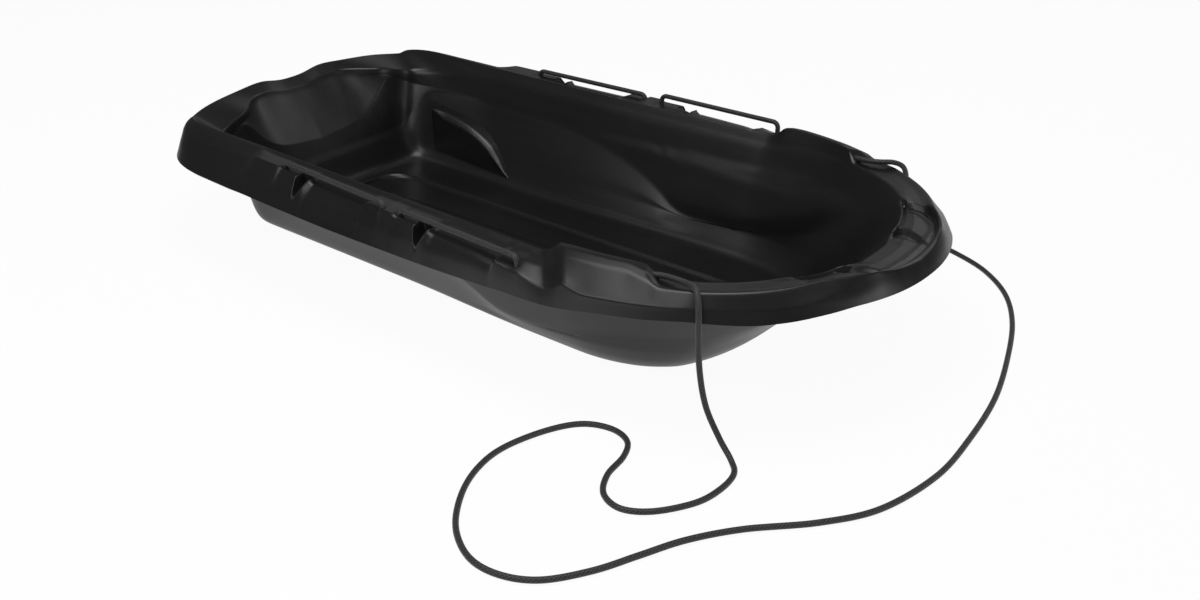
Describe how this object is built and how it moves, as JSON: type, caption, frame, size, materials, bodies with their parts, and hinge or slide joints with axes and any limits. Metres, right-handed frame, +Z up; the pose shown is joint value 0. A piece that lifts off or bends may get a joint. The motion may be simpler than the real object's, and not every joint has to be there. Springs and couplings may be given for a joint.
{
  "type": "utility sled",
  "caption": "One-piece moulded plastic tub sled with a raised bow, flanged rim, rope grab handles that lift and a looped tow rope.",
  "frame": {"origin": "centre of the sled's footprint, on the ground under the runners", "axes": "+X forward to the bow, +Y to the sled's left side, +Z up"},
  "size_m": [1.1086, 0.9369, 0.1778],
  "materials": {
    "hull": "satin moulded black plastic",
    "rope": "braided black rope"
  },
  "bodies": {
    "sled": {"hull": "hull", "tow_rope": "rope", "tow_knot_near": "rope", "tow_knot_far": "rope"},
    "grab_near_rear": {"grab_rope_near_rear": "rope"},
    "grab_near_front": {"grab_rope_near_front": "rope"},
    "grab_far_rear": {"grab_rope_far_rear": "rope"},
    "grab_far_front": {"grab_rope_far_front": "rope"}
  },
  "joints": [
    {"name": "grab_near_rear_lift", "type": "slide", "parent": "sled", "child": "grab_near_rear", "axis": [0, 0, 1], "range_m": [0, 0.012]},
    {"name": "grab_near_front_lift", "type": "slide", "parent": "sled", "child": "grab_near_front", "axis": [0, 0, 1], "range_m": [0, 0.012]},
    {"name": "grab_far_rear_lift", "type": "slide", "parent": "sled", "child": "grab_far_rear", "axis": [0, 0, 1], "range_m": [0, 0.012]},
    {"name": "grab_far_front_lift", "type": "slide", "parent": "sled", "child": "grab_far_front", "axis": [0, 0, 1], "range_m": [-0.005, 0.007]}
  ]
}
